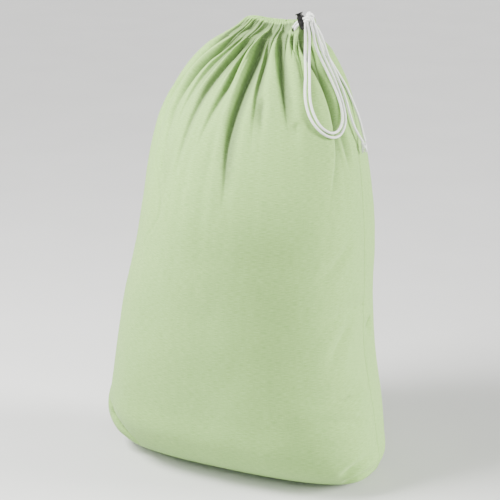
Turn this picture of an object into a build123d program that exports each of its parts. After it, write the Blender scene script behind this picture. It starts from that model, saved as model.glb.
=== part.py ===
from build123d import *
import math
import os

os.makedirs("parts", exist_ok=True)

# ---------------------------------------------------------------------------
# Driving dimensions, in millimetres. The bag stands on z = 0, front panel to -Y,
# and the drawstring leaves it at the +X end of the gathered neck.
# ---------------------------------------------------------------------------
cloth = 1.2               # stand-in thickness of one panel
wall_inset = 1.6          # how far the inside outline is drawn in at each level
rim_height = 752.0        # top of the folded casing
stitch_height = 722.0     # row of stitching that closes the casing
fold_wall = 1.2           # thickness of the casing's inner layer and of its ends
neck_centre = 61.0        # the gathered neck stands off centre, to +X
neck_power = 2.6          # squareness of the neck's outline
mouth_half_width = 42.0   # opening left when the drawstring is drawn tight
mouth_half_depth = 6.0
seam_allowance = 8.0      # width of the overlocked seam inside the bag
seam_thickness = 2.0
seam_bite = 0.5           # how far the seam's threads go into the panels
stitch_band = 1.2         # height of the casing's row of stitching
cord_diameter = 4.0
cord_ring_height = 738.0  # drawstring's run inside the casing

# Each level of the filled bag: height, half width, half depth, centre in x, squareness.
levels = [
    (0.0, 183.0, 44.0, 20.0, 2.8),
    (12.0, 217.0, 76.0, 8.0, 2.7),
    (35.0, 233.0, 112.0, 5.0, 2.6),
    (75.0, 236.0, 141.0, 0.0, 2.6),
    (135.0, 228.0, 152.0, 3.0, 2.6),
    (210.0, 214.0, 162.0, 3.0, 2.5),
    (300.0, 200.0, 172.0, 9.0, 2.4),
    (390.0, 188.0, 179.0, 20.0, 2.3),
    (470.0, 179.0, 178.0, 26.0, 2.2),
    (540.0, 171.0, 160.0, 26.0, 2.1),
    (600.0, 155.0, 127.0, 26.0, 2.1),
    (650.0, 131.0, 92.0, 30.0, 2.2),
    (690.0, 104.0, 58.0, 36.0, 2.4),
    (722.0, 78.0, 33.0, 46.0, neck_power),
    (740.0, 65.0, 27.0, 56.0, neck_power),
    (rim_height, 57.0, 24.0, neck_centre, neck_power),
]


def outline(half_width, half_depth, centre, power, count=28):
    """Points round one level: an oval that grows squarer as power rises above 2."""
    points = []
    for step in range(count):
        angle = 2 * math.pi * step / count
        across = math.cos(angle)
        along = math.sin(angle)
        x = half_width * math.copysign(abs(across) ** (2 / power), across)
        y = half_depth * math.copysign(abs(along) ** (2 / power), along)
        points.append((centre + x, y))
    return points


def route_radii(points):
    """Bend radius at each inner point of a cord's route: as large as its two runs allow."""
    corners = [Vector(*point) for point in points]
    radii = []
    for before, here, after in zip(corners, corners[1:], corners[2:]):
        turn = math.radians((here - before).get_angle(after - here))
        shorter = min((here - before).length, (after - here).length)
        radii.append(0.45 * shorter / math.tan(turn / 2))
    return radii


# ---------------------------------------------------------------------------
# Cloth: the filled outside shape, its inside, and the hollow casing at the neck
# ---------------------------------------------------------------------------
with BuildPart() as outside_shape:
    for height, half_width, half_depth, centre, power in levels:
        with BuildSketch(Plane.XY.offset(height)):
            with BuildLine():
                Spline(outline(half_width, half_depth, centre, power), periodic=True)
            make_face()
    loft()

with BuildPart() as inside_shape:
    for height, half_width, half_depth, centre, power in levels:
        inside_height = max(height, cloth)
        if height == rim_height:
            inside_height = rim_height - fold_wall
        with BuildSketch(Plane.XY.offset(inside_height)):
            with BuildLine():
                Spline(
                    outline(half_width - wall_inset, half_depth - wall_inset, centre, power),
                    periodic=True,
                )
            make_face()
    loft()

# The casing's hollow ring lies between the panel and its folded-in layer.
casing_floor = stitch_height + fold_wall
with BuildPart() as inner_layer_block:
    with BuildSketch(Plane.XY.offset(stitch_height)):
        with BuildLine():
            Spline(
                outline(
                    mouth_half_width + fold_wall, mouth_half_depth + fold_wall, neck_centre, neck_power
                ),
                periodic=True,
            )
        make_face()
    extrude(amount=rim_height - stitch_height)

with BuildPart() as mouth_hole:
    with BuildSketch(Plane.XY.offset(stitch_height - cloth)):
        with BuildLine():
            Spline(outline(mouth_half_width, mouth_half_depth, neck_centre, neck_power), periodic=True)
        make_face()
    extrude(amount=rim_height - stitch_height + 2 * cloth)

with BuildPart() as body_cavity:
    add(inside_shape.part)
    split(bisect_by=Plane.XY.offset(stitch_height), keep=Keep.BOTTOM)

with BuildPart() as casing_cavity:
    add(inside_shape.part)
    split(bisect_by=Plane.XY.offset(casing_floor), keep=Keep.TOP)
    add(inner_layer_block.part, mode=Mode.SUBTRACT)

# ---------------------------------------------------------------------------
# Cord lock's place: its barrel leans back over the casing, its cord hole points to +X and forward
# ---------------------------------------------------------------------------
lock_centre = Vector(110.0, -30.0, 754.0)
barrel_axis = Vector(-0.4, 0.0, 0.917)
hole_axis = Vector(0.83, -0.42, 0.362)
lock_plane = Plane(origin=lock_centre, x_dir=hole_axis, z_dir=barrel_axis)

# The buttonhole in the casing's front, where both leads come out.
exit_point = Vector(93.5, -23.4, 739.5)
exit_plane = Plane(origin=exit_point, x_dir=(0.94, 0.18, 0), z_dir=(0.18, -0.94, 0.28))
buttonhole_height = 13.0
buttonhole_width = 9.0
buttonhole_rim = 1.8
buttonhole_depth = 1.6
exit_cut = 6.0             # the hole is cut this far each way through the casing's front

with BuildPart() as exit_slot:
    with BuildSketch(exit_plane):
        SlotOverall(
            buttonhole_height - 2 * buttonhole_rim,
            buttonhole_width - 2 * buttonhole_rim,
            rotation=90,
        )
    extrude(amount=exit_cut, both=True)

with BuildPart() as bag_shell:
    add(outside_shape.part)
    add(body_cavity.part, mode=Mode.SUBTRACT)
    add(casing_cavity.part, mode=Mode.SUBTRACT)
    add(mouth_hole.part, mode=Mode.SUBTRACT)
    add(exit_slot.part, mode=Mode.SUBTRACT)

# Below the stitching each panel is a single layer; above it, its top is folded in as half the casing.
with BuildPart() as body_shell:
    add(bag_shell.part)
    split(bisect_by=Plane.XY.offset(stitch_height), keep=Keep.BOTTOM)

with BuildPart() as casing_shell:
    add(bag_shell.part)
    split(bisect_by=Plane.XY.offset(stitch_height), keep=Keep.TOP)

for half_name, half_shell, half_side in (
    ("front_panel", body_shell, Keep.TOP),
    ("back_panel", body_shell, Keep.BOTTOM),
    ("front_casing", casing_shell, Keep.TOP),
    ("back_casing", casing_shell, Keep.BOTTOM),
):
    with BuildPart() as cloth_half:
        add(half_shell.part)
        split(bisect_by=Plane.XZ, keep=half_side)
    cloth_half.part.label = half_name
    export_step(cloth_half.part, "parts/" + half_name + ".step")


# ---------------------------------------------------------------------------
# Seams: the overlocked allowances stand inside the bag where the panels meet
# ---------------------------------------------------------------------------
def side_edge(side, inset):
    """The inside edge of the bag in the XZ plane, drawn in by inset, from the base to the casing."""
    edge = []
    for height, half_width, half_depth, centre, power in levels:
        if 0 < height <= stitch_height:
            edge.append((centre + side * (half_width - inset), height))
    return edge


for side, seam_name in ((-1, "left_side_seam"), (1, "right_side_seam")):
    outer_edge = side_edge(side, wall_inset - seam_bite)
    inner_edge = side_edge(side, wall_inset + seam_allowance)
    with BuildPart() as side_seam:
        with BuildSketch(Plane.XZ):
            with BuildLine():
                Spline(outer_edge)
                Line(outer_edge[-1], inner_edge[-1])
                Spline(inner_edge)
                Line(inner_edge[0], outer_edge[0])
            make_face()
        extrude(amount=seam_thickness / 2, both=True)
    side_seam.part.label = seam_name
    export_step(side_seam.part, "parts/" + seam_name + ".step")

bottom_seam_length = 340.0
bottom_seam_centre = 20.0
with BuildPart() as bottom_seam:
    with BuildSketch(Plane.XY.offset(cloth - seam_bite)):
        with Locations((bottom_seam_centre, 0)):
            SlotOverall(bottom_seam_length, seam_thickness)
    extrude(amount=seam_allowance)
bottom_seam.part.label = "bottom_seam"
export_step(bottom_seam.part, "parts/bottom_seam.step")

stitch_half_width = 78.0
stitch_half_depth = 33.0
stitch_centre = 46.0
with BuildPart() as casing_stitching:
    with BuildSketch(Plane.XY.offset(stitch_height - stitch_band / 2)):
        with BuildLine():
            Spline(
                outline(
                    stitch_half_width + seam_bite, stitch_half_depth + seam_bite, stitch_centre, neck_power
                ),
                periodic=True,
            )
        make_face()
        with BuildLine():
            Spline(
                outline(
                    stitch_half_width - seam_bite, stitch_half_depth - seam_bite, stitch_centre, neck_power
                ),
                periodic=True,
            )
        make_face(mode=Mode.SUBTRACT)
    extrude(amount=stitch_band)
casing_stitching.part.label = "casing_stitching"
export_step(casing_stitching.part, "parts/casing_stitching.step")

with BuildPart() as cord_exit_buttonhole:
    with BuildSketch(exit_plane.offset(-buttonhole_depth)):
        SlotOverall(buttonhole_height, buttonhole_width, rotation=90)
        SlotOverall(
            buttonhole_height - 2 * buttonhole_rim,
            buttonhole_width - 2 * buttonhole_rim,
            rotation=90,
            mode=Mode.SUBTRACT,
        )
    extrude(amount=2 * buttonhole_depth)
cord_exit_buttonhole.part.label = "cord_exit_buttonhole"
export_step(cord_exit_buttonhole.part, "parts/cord_exit_buttonhole.step")


# ---------------------------------------------------------------------------
# Cord lock: barrel, sprung plunger and spring, made upright and moved to its place
# ---------------------------------------------------------------------------
barrel_radius = 6.2
barrel_end_radius = 5.6
barrel_foot_round = 1.6     # rounding at the closed end
barrel_lip_bevel = 0.6      # bevel round the open end
barrel_belly = -2.0         # the barrel is widest at this height
barrel_bottom = -12.8
barrel_top = 7.6
bore_radius = 4.25
bore_floor = -11.6
stem_radius = 4.2
stem_bottom = -6.0
press_travel = 3.0
cord_pitch = 4.1                                   # the two leads pass one above the other
cord_play = 0.15                                   # room round the cords in the lock
stack_half = cord_pitch / 2 + cord_diameter / 2 + cord_play
hole_width = cord_diameter + 2 * cord_play
head_gap = 0.2                                     # left under the head at full press
head_underside = barrel_top + press_travel + head_gap
head_thickness = 1.8
cap_radius = 6.0
cap_round = 0.6

with BuildPart() as lock_barrel:
    with BuildSketch(lock_plane * Plane.XZ):
        with BuildLine():
            foot_flat = (barrel_end_radius - barrel_foot_round, barrel_bottom)
            foot_side = (barrel_end_radius, barrel_bottom + barrel_foot_round)
            lip_side = (barrel_end_radius, barrel_top - barrel_lip_bevel)
            lip_flat = (barrel_end_radius - barrel_lip_bevel, barrel_top)
            Polyline((0, barrel_top), (0, barrel_bottom), foot_flat)
            RadiusArc(foot_flat, foot_side, -barrel_foot_round)
            ThreePointArc(foot_side, (barrel_radius, barrel_belly), lip_side)
            Line(lip_side, lip_flat)
            Line(lip_flat, (0, barrel_top))
        make_face()
    revolve(axis=Axis(lock_centre, barrel_axis))
    with BuildSketch(lock_plane.offset(bore_floor)):
        Circle(bore_radius)
    extrude(amount=barrel_top - bore_floor, mode=Mode.SUBTRACT)
    hole_low = -stack_half - press_travel
    hole_high = stack_half
    with BuildSketch(lock_plane * Plane.YZ):
        with Locations((0, (hole_low + hole_high) / 2)):
            SlotOverall(hole_high - hole_low, hole_width, rotation=90)
    extrude(amount=barrel_radius + 1, both=True, mode=Mode.SUBTRACT)
lock_barrel.part.label = "lock_barrel"
export_step(lock_barrel.part, "parts/lock_barrel.step")

with BuildPart() as lock_plunger:
    with BuildSketch(lock_plane.offset(stem_bottom)):
        Circle(stem_radius)
    extrude(amount=head_underside - stem_bottom)
    with BuildSketch(lock_plane.offset(head_underside)):
        Circle(cap_radius)
    extrude(amount=head_thickness)
    fillet(lock_plunger.edges().filter_by(GeomType.CIRCLE).group_by(SortBy.RADIUS)[-1], cap_round)
    with BuildSketch(lock_plane * Plane.YZ):
        with Locations((0, press_travel / 2)):
            SlotOverall(2 * stack_half + press_travel, hole_width, rotation=90)
    extrude(amount=barrel_radius + 1, both=True, mode=Mode.SUBTRACT)
lock_plunger.part.label = "lock_plunger"
export_step(lock_plunger.part, "parts/lock_plunger.step")

spring_wire = 0.6
spring_radius = 3.2
spring_turns = 3.5
spring_gap = 0.05
spring_height = stem_bottom - bore_floor - spring_wire - 2 * spring_gap
spring_start = lock_centre + barrel_axis.normalized() * (bore_floor + spring_wire / 2 + spring_gap)
with BuildPart() as lock_spring:
    with BuildLine() as coil:
        Helix(
            pitch=spring_height / spring_turns,
            height=spring_height,
            radius=spring_radius,
            center=spring_start,
            direction=barrel_axis,
        )
    with BuildSketch(Plane(origin=coil.line @ 0, z_dir=coil.line % 0)):
        Circle(spring_wire / 2)
    sweep(is_frenet=True)
lock_spring.part.label = "lock_spring"
export_step(lock_spring.part, "parts/lock_spring.step")


# ---------------------------------------------------------------------------
# Knots: the doubled slip knot beside the lock, and the end knot with two frayed tips
# ---------------------------------------------------------------------------
knot_offset = 19.5
slip_knot_radius = 7.6
slip_knot_length = 9.2
slip_knot_centre = lock_centre + hole_axis * knot_offset
slip_knot_plane = Plane(origin=slip_knot_centre, x_dir=(0.91, -0.42, 0), z_dir=(0.1, 0.22, 0.97))
with BuildPart() as slip_knot:
    with BuildSketch(slip_knot_plane * Plane.XZ):
        SlotOverall(2 * slip_knot_length, 2 * slip_knot_radius, rotation=90)
        Rectangle(
            slip_knot_radius + 1,
            3 * slip_knot_length,
            align=(Align.MAX, Align.CENTER),
            mode=Mode.SUBTRACT,
        )
    revolve(axis=Axis(slip_knot_centre, slip_knot_plane.z_dir))
slip_knot.part.label = "slip_knot"
export_step(slip_knot.part, "parts/slip_knot.step")

end_knot_centre = Vector(201.5, 3.0, 565.0)
end_knot_radius = 5.2
end_knot_length = 6.6
end_knot_plane = Plane(origin=end_knot_centre, x_dir=(1, 0, 0), z_dir=(0, 0.35, -0.94))
frayed_tip_length = 10.0
frayed_tip_offset = 2.4
frayed_tip_bite = 2.5       # how deep the tips start inside the knot
with BuildPart() as end_knot:
    with BuildSketch(end_knot_plane * Plane.XZ):
        SlotOverall(2 * end_knot_length, 2 * end_knot_radius, rotation=90)
        Rectangle(
            end_knot_radius + 1,
            3 * end_knot_length,
            align=(Align.MAX, Align.CENTER),
            mode=Mode.SUBTRACT,
        )
    revolve(axis=Axis(end_knot_centre, end_knot_plane.z_dir))
    with BuildSketch(end_knot_plane.offset(end_knot_length - frayed_tip_bite)):
        with Locations((-frayed_tip_offset, 0), (frayed_tip_offset, 0)):
            Circle(cord_diameter / 2)
    extrude(amount=frayed_tip_length)
end_knot.part.label = "end_knot"
export_step(end_knot.part, "parts/end_knot.step")


# ---------------------------------------------------------------------------
# Drawstring: a 4 mm braided cord. Its run in the casing, its two leads through the lock,
# the doubled loop that hangs from the slip knot, and the doubled tail
# ---------------------------------------------------------------------------
ring_half_width = 52.0
ring_centre = 58.0
ring_half_depth = 14.0
ring_start = -74.0        # degrees round the casing, from +X towards +Y
ring_end = -377.0
ring_steps = 17
ring_points = []
for step in range(ring_steps + 1):
    angle = math.radians(ring_start + (ring_end - ring_start) * step / ring_steps)
    across = math.cos(angle)
    along = math.sin(angle)
    ring_points.append(
        (
            ring_centre + ring_half_width * math.copysign(abs(across) ** (2 / neck_power), across),
            ring_half_depth * math.copysign(abs(along) ** (2 / neck_power), along),
            cord_ring_height,
        )
    )

# Both leads run straight through the lock, from before it to inside the slip knot.
lead_rise = barrel_axis.normalized() * (cord_pitch / 2)
lead_entry = hole_axis.normalized() * -11.5
lead_end = hole_axis.normalized() * 12.5
lead_a_points = [
    ring_points[0],
    (85.5, -14.8, 739.6),
    (93.8, -22.4, 742.0),
    tuple(lock_centre + lead_rise + lead_entry),
    tuple(lock_centre + lead_rise + lead_end),
]
lead_b_points = [
    ring_points[-1],
    (97.5, -12.0, 737.4),
    (94.2, -22.2, 737.0),
    tuple(lock_centre - lead_rise + lead_entry),
    tuple(lock_centre - lead_rise + lead_end),
]
loop_a_points = [
    (120.5, -40.5, 753),
    (121, -41, 741),
    (121, -41, 720),
    (122, -44, 697),
    (128, -55, 678),
    (132, -68, 657),
    (137, -76, 639),
    (147, -82, 618),
    (161, -79, 600),
    (175, -67, 588),
    (184, -48, 589),
    (184, -28, 606),
    (176, -20, 630),
    (166, -17, 652),
    (157, -17, 673),
    (145, -17, 694),
    (136, -20, 717),
    (135, -31, 740),
    (132.5, -37, 753),
]
loop_b_points = [
    (125, -41.5, 753),
    (126, -38, 741),
    (126, -37, 720),
    (127, -41, 698),
    (133, -52, 677),
    (138, -64, 657),
    (143, -72, 639),
    (152, -77, 621),
    (162, -75, 605),
    (174, -64, 594),
    (181, -49, 596),
    (181, -33, 610),
    (174, -26, 632),
    (164, -24, 653),
    (153, -24, 674),
    (140, -23, 696),
    (131, -26, 717),
    (131, -35, 739),
    (129.5, -40, 753),
]
tail_a_points = [
    (131, -33, 753),
    (137, -25, 740),
    (141, -15, 719),
    (147, -11, 697),
    (155, -8, 679),
    (165, -7, 659),
    (174, -8, 639),
    (181, -11, 620),
    (188, -12, 602),
    (194, -8, 586),
    (200, 1, 571),
]
tail_b_points = [
    (126.5, -33.5, 753),
    (131, -24, 739),
    (135, -12, 717),
    (144, -4, 697),
    (156, 2, 675),
    (166, 10, 655),
    (174, 15, 635),
    (182, 17, 616),
    (189, 17, 599),
    (195, 13, 584),
    (202, 6, 571),
]

cord_routes = {
    "casing_cord": ring_points,
    "cord_lead_a": lead_a_points,
    "cord_lead_b": lead_b_points,
    "cord_loop_a": loop_a_points,
    "cord_loop_b": loop_b_points,
    "cord_tail_a": tail_a_points,
    "cord_tail_b": tail_b_points,
}
for cord_name, route_points in cord_routes.items():
    with BuildPart() as cord_tube:
        with BuildLine() as route:
            FilletPolyline(*route_points, radius=route_radii(route_points))
        with BuildSketch(Plane(origin=route.line @ 0, z_dir=route.line % 0)):
            Circle(cord_diameter / 2)
        sweep()
    cord_tube.part.label = cord_name
    export_step(cord_tube.part, "parts/" + cord_name + ".step")
    section = math.pi * cord_diameter**2 / 4
    print(
        cord_name,
        "length",
        round(sum(edge.length for edge in route.edges()), 1),
        "volume over section",
        round(cord_tube.part.volume / section, 1),
        "radii",
        [round(radius, 1) for radius in route_radii(route_points)],
    )
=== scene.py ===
import math

import bpy
import numpy as np
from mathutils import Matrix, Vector


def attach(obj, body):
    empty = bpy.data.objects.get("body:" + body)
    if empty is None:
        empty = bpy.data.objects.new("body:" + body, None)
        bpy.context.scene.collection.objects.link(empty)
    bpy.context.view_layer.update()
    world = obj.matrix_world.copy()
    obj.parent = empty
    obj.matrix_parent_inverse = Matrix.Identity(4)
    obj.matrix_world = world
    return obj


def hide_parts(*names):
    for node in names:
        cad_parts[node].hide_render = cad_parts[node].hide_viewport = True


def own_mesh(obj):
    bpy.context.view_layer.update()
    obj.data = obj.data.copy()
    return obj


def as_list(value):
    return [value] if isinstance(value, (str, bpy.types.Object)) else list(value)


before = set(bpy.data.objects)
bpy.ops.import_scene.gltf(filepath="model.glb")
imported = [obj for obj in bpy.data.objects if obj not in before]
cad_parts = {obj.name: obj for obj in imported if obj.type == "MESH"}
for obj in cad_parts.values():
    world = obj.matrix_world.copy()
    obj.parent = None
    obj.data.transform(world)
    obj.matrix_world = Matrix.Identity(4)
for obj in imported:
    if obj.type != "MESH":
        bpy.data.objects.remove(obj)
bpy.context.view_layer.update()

MM = 0.001
rng = np.random.default_rng(24)

# ---------------------------------------------------------------------------
# Camera, light and floor
# ---------------------------------------------------------------------------
CAMERA_AZIMUTH = math.radians(25)
CAMERA_ELEVATION = math.radians(18)
CAMERA_DISTANCE = 2.4
CAMERA_TARGET = Vector((0.0095, 0.0021, 0.370))
CAMERA_LENS = 106.4
SENSOR_WIDTH = 36
LIGHT_TARGET = Vector((0, 0, 0.4))
WARM = (1.0, 0.99, 0.97)


def new_object(name, data):
    """An object in the scene that holds the data."""
    made = bpy.data.objects.new(name, data)
    bpy.context.scene.collection.objects.link(made)
    return made


def add_camera():
    """The camera looks at the bag's middle from the front, a little to its right and above."""
    away = Vector(
        (
            math.sin(CAMERA_AZIMUTH) * math.cos(CAMERA_ELEVATION),
            -math.cos(CAMERA_AZIMUTH) * math.cos(CAMERA_ELEVATION),
            math.sin(CAMERA_ELEVATION),
        )
    )
    data = bpy.data.cameras.new("camera")
    data.lens = CAMERA_LENS
    data.sensor_width = SENSOR_WIDTH
    camera = new_object("camera", data)
    camera.location = CAMERA_TARGET + away * CAMERA_DISTANCE
    camera.rotation_euler = (-away).to_track_quat("-Z", "Y").to_euler()
    bpy.context.scene.camera = camera


def add_light(kind, name, facing, power, colour):
    """A light that shines along a direction."""
    data = bpy.data.lights.new(name, kind)
    data.energy = power
    data.color = colour
    light = new_object(name, data)
    light.rotation_euler = Vector(facing).to_track_quat("-Z", "Y").to_euler()
    return light


def area_light(name, location, size, power, colour):
    """A square soft box that faces the bag's middle."""
    light = add_light("AREA", name, LIGHT_TARGET - Vector(location), power, colour)
    light.location = location
    light.data.shape = "SQUARE"
    light.data.size = size


def sun_light(name, direction, strength, softness, colour):
    """A distant soft light; its softness is the angle that it fills, in degrees."""
    light = add_light("SUN", name, direction, strength, colour)
    light.data.angle = math.radians(softness)


def add_lights():
    """Key from the left with a soft box beside it, a strong side light from the right, a weak fill."""
    sun_light("key_light", (0.56, 0.56, -0.60), 2.2, 24, WARM)
    area_light("key_box", (-0.80, -0.86, 1.60), 0.6, 84, WARM)
    sun_light("side_light", (-0.90, -0.30, -0.30), 9.0, 25, (1.0, 0.99, 0.95))
    sun_light("fill_light", (-0.43, 0.75, -0.50), 1.2, 40, (0.95, 0.98, 1.0))
    world = bpy.data.worlds.new("studio")
    world.use_nodes = True
    background = world.node_tree.nodes["Background"]
    background.inputs["Color"].default_value = (1, 1, 1, 1)
    background.inputs["Strength"].default_value = 0.35
    bpy.context.scene.world = world


# ---------------------------------------------------------------------------
# Node helpers
# ---------------------------------------------------------------------------
class Nodes:
    """A material under construction, with short ways to add nodes and join them."""

    def __init__(self, name):
        self.material = bpy.data.materials.new(name)
        self.material.use_nodes = True
        self.tree = self.material.node_tree
        self.tree.nodes.clear()
        self.output = self.tree.nodes.new("ShaderNodeOutputMaterial")
        self.shader = self.tree.nodes.new("ShaderNodeBsdfPrincipled")
        self.join(self.shader.outputs[0], self.output.inputs["Surface"])

    def add(self, kind, **settings):
        node = self.tree.nodes.new(kind)
        for key, value in settings.items():
            if hasattr(node, key):
                setattr(node, key, value)
            else:
                node.inputs[key.replace("_", " ")].default_value = value
        return node

    def join(self, source, target):
        self.tree.links.new(source, target)

    def math(self, operation, first, second=None):
        node = self.tree.nodes.new("ShaderNodeMath")
        node.operation = operation
        for socket, value in zip(node.inputs, (first, second)):
            if isinstance(value, bpy.types.NodeSocket):
                self.join(value, socket)
            elif value is not None:
                socket.default_value = value
        return node.outputs[0]

    def ramp(self, factor, low, high, low_colour, high_colour):
        node = self.tree.nodes.new("ShaderNodeValToRGB")
        node.color_ramp.elements[0].position = low
        node.color_ramp.elements[1].position = high
        node.color_ramp.elements[0].color = (*low_colour, 1)
        node.color_ramp.elements[1].color = (*high_colour, 1)
        self.join(factor, node.inputs[0])
        return node.outputs[0]

    def mix(self, factor, first, second, blend="MIX"):
        node = self.tree.nodes.new("ShaderNodeMix")
        node.data_type = "RGBA"
        node.blend_type = blend
        for socket, value in ((node.inputs[0], factor), (node.inputs[6], first), (node.inputs[7], second)):
            if isinstance(value, bpy.types.NodeSocket):
                self.join(value, socket)
            elif isinstance(value, tuple):
                socket.default_value = (*value, 1)
            else:
                socket.default_value = value
        return node.outputs[2]

    def place(self):
        return self.add("ShaderNodeTexCoord").outputs["Object"]

    def stretch(self, vector, scale):
        node = self.add("ShaderNodeMapping", Scale=scale)
        self.join(vector, node.inputs[0])
        return node.outputs[0]

    def noise(self, vector, **settings):
        node = self.add("ShaderNodeTexNoise", **settings)
        self.join(vector, node.inputs["Vector"])
        return node.outputs[0]

    def grey(self, factor, low, high, first, second):
        return self.ramp(factor, low, high, (first,) * 3, (second,) * 3)

    def feed(self, source, socket):
        self.join(source, self.shader.inputs[socket])

    def fix(self, **values):
        """Constants on the shader's own sockets."""
        for name, value in values.items():
            self.shader.inputs[name.replace("_", " ")].default_value = value

    def bump(self, height, strength, distance):
        node = self.add("ShaderNodeBump", Strength=strength, Distance=distance)
        self.join(height, node.inputs["Height"])
        self.feed(node.outputs[0], "Normal")


def paint(piece, material):
    """Give a piece one material on all its faces."""
    piece.data.materials.clear()
    piece.data.materials.append(material)


# ---------------------------------------------------------------------------
# Materials
# ---------------------------------------------------------------------------
THREAD_PITCH = 0.55 * MM
CLOTH_LIGHT = (0.325, 0.53, 0.17)
CLOTH_DARK = (0.23, 0.40, 0.11)
# painted shade: the colour that the cloth's colour is multiplied by deep in the creases
CREASE_PAINTED_SHADE = (0.58, 0.54, 0.68)
WHITE = (1.0, 1.0, 1.0)


def cloth_material():
    """Heathered plain weave: crossed threads, short darker slubs along the weft, soft mottling, and painted
    shade in the creases.
    """
    n = Nodes("sage_cotton")
    uv = n.add("ShaderNodeUVMap", uv_map="cloth").outputs[0]
    split = n.add("ShaderNodeSeparateXYZ")
    n.join(uv, split.inputs[0])
    turns = 2 * math.pi / THREAD_PITCH
    warp = n.math("SINE", n.math("MULTIPLY", split.outputs[0], turns))
    weft = n.math("SINE", n.math("MULTIPLY", split.outputs[1], turns))
    weave = n.math("MULTIPLY", warp, weft)
    slub = n.noise(n.stretch(uv, (90, 1150, 1)), Scale=1.0, Detail=3.0, Roughness=0.6)
    streak = n.noise(n.stretch(uv, (700, 60, 1)), Scale=1.0, Detail=2.0, Roughness=0.5)
    mottle = n.noise(uv, Scale=9.0, Detail=4.0, Roughness=0.55)

    colour = n.ramp(slub, 0.36, 0.62, CLOTH_DARK, CLOTH_LIGHT)
    # painted shade: the creases are painted in a deeper tone that stands for shade, on top of the shade that
    # the lights cast in them
    crease = n.add("ShaderNodeAttribute", attribute_name="painted_crease_shade")
    for tint_and_painted_shade in (
        n.ramp(streak, 0.3, 0.7, (0.93, 0.94, 0.93), WHITE),
        n.ramp(mottle, 0.3, 0.7, (0.95, 0.96, 0.94), (1.0, 1.0, 0.99)),
        n.ramp(crease.outputs["Fac"], 0.0, 1.0, WHITE, CREASE_PAINTED_SHADE),
    ):
        colour = n.mix(1.0, colour, tint_and_painted_shade, "MULTIPLY")
    n.feed(colour, "Base Color")
    n.feed(n.grey(slub, 0.3, 0.7, 0.8, 0.95), "Roughness")
    n.fix(Sheen_Weight=0.12, Sheen_Roughness=0.5, Specular_IOR_Level=0.2)
    height = n.math("ADD", n.math("MULTIPLY", weave, 0.25), n.math("MULTIPLY", slub, 1.2))
    n.bump(height, 0.35, 0.35 * MM)
    return n.material


def thread_material(name, light, dark):
    """Sewing thread with a fine fibre grain."""
    n = Nodes(name)
    grain = n.noise(n.place(), Scale=2600.0, Detail=2.0)
    n.feed(n.ramp(grain, 0.35, 0.65, dark, light), "Base Color")
    n.fix(Roughness=0.8, Sheen_Weight=0.3)
    n.bump(grain, 0.4, 0.1 * MM)
    return n.material


def cord_material():
    """White cord: a fine fibre grain and slightly soiled patches. Its braid is modelled."""
    n = Nodes("white_braid")
    place = n.place()
    fibre = n.noise(place, Scale=1500.0, Detail=3.0, Roughness=0.6)
    soil = n.noise(place, Scale=60.0, Detail=3.0)
    fibres = n.ramp(fibre, 0.3, 0.7, (0.62, 0.64, 0.62), (0.86, 0.87, 0.85))
    n.feed(n.mix(1.0, fibres, n.ramp(soil, 0.3, 0.7, (0.95, 0.96, 0.93), WHITE), "MULTIPLY"), "Base Color")
    n.fix(Roughness=0.75, Sheen_Weight=0.3)
    n.bump(fibre, 0.35, 0.15 * MM)
    return n.material


def plastic_material():
    """Black moulded plastic with a fine grain and dulled, paler scuffs."""
    n = Nodes("black_plastic")
    place = n.place()
    grain = n.noise(place, Scale=2200.0, Detail=2.0)
    scuff = n.noise(place, Scale=240.0, Detail=5.0, Roughness=0.7)
    n.feed(n.ramp(scuff, 0.5, 0.78, (0.006, 0.006, 0.006), (0.03, 0.03, 0.029)), "Base Color")
    n.feed(n.grey(scuff, 0.35, 0.7, 0.26, 0.50), "Roughness")
    n.fix(Specular_IOR_Level=0.22)
    n.bump(grain, 0.15, 0.08 * MM)
    return n.material


def steel_material():
    """Spring wire: bright, with a fine grain."""
    n = Nodes("spring_wire")
    grain = n.noise(n.place(), Scale=900.0, Detail=2.0)
    n.feed(n.ramp(grain, 0.3, 0.7, (0.42, 0.42, 0.44), (0.62, 0.62, 0.63)), "Base Color")
    n.fix(Metallic=1.0)
    n.feed(n.grey(grain, 0.3, 0.7, 0.25, 0.4), "Roughness")
    return n.material


def floor_material():
    """Pale matt paper with the faintest mottling."""
    n = Nodes("pale_floor")
    n.feed(n.grey(n.noise(n.place(), Scale=4.0, Detail=3.0), 0.2, 0.8, 0.62, 0.66), "Base Color")
    n.fix(Roughness=0.9)
    return n.material


FLOOR_HALF = 6.0
FLOOR_DROP = -0.0006


def add_floor():
    """A wide pale floor just under the bag."""
    mesh = bpy.data.meshes.new("floor")
    corners = [(x * FLOOR_HALF, y * FLOOR_HALF, 0) for x, y in ((-1, -1), (1, -1), (1, 1), (-1, 1))]
    mesh.from_pydata(corners, [], [(0, 1, 2, 3)])
    floor = new_object("floor", mesh)
    floor.location = (0, 0, FLOOR_DROP)
    paint(floor, floor_material())


# ---------------------------------------------------------------------------
# The filled bag's outline, level by level, as in the CAD model (metres)
# ---------------------------------------------------------------------------
RIM = 752                     # heights in mm
STITCHES = 722
FOLD_TOP = 738
NECK_CENTRE = 61 * MM
NECK_POWER = 2.6

# height, half width, half depth, centre in x (all mm), squareness
LEVELS = np.array(
    [
        (0, 183, 44, 20, 2.8),
        (12, 217, 76, 8, 2.7),
        (35, 233, 112, 5, 2.6),
        (75, 236, 141, 0, 2.6),
        (135, 228, 152, 3, 2.6),
        (210, 214, 162, 3, 2.5),
        (300, 200, 172, 9, 2.4),
        (390, 188, 179, 20, 2.3),
        (470, 179, 178, 26, 2.2),
        (540, 171, 160, 26, 2.1),
        (600, 155, 127, 26, 2.1),
        (650, 131, 92, 30, 2.2),
        (690, 104, 58, 36, 2.4),
        (722, 78, 33, 46, NECK_POWER),
        (740, 65, 27, 56, NECK_POWER),
        (752, 57, 24, 61, NECK_POWER),
    ]
)


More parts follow.
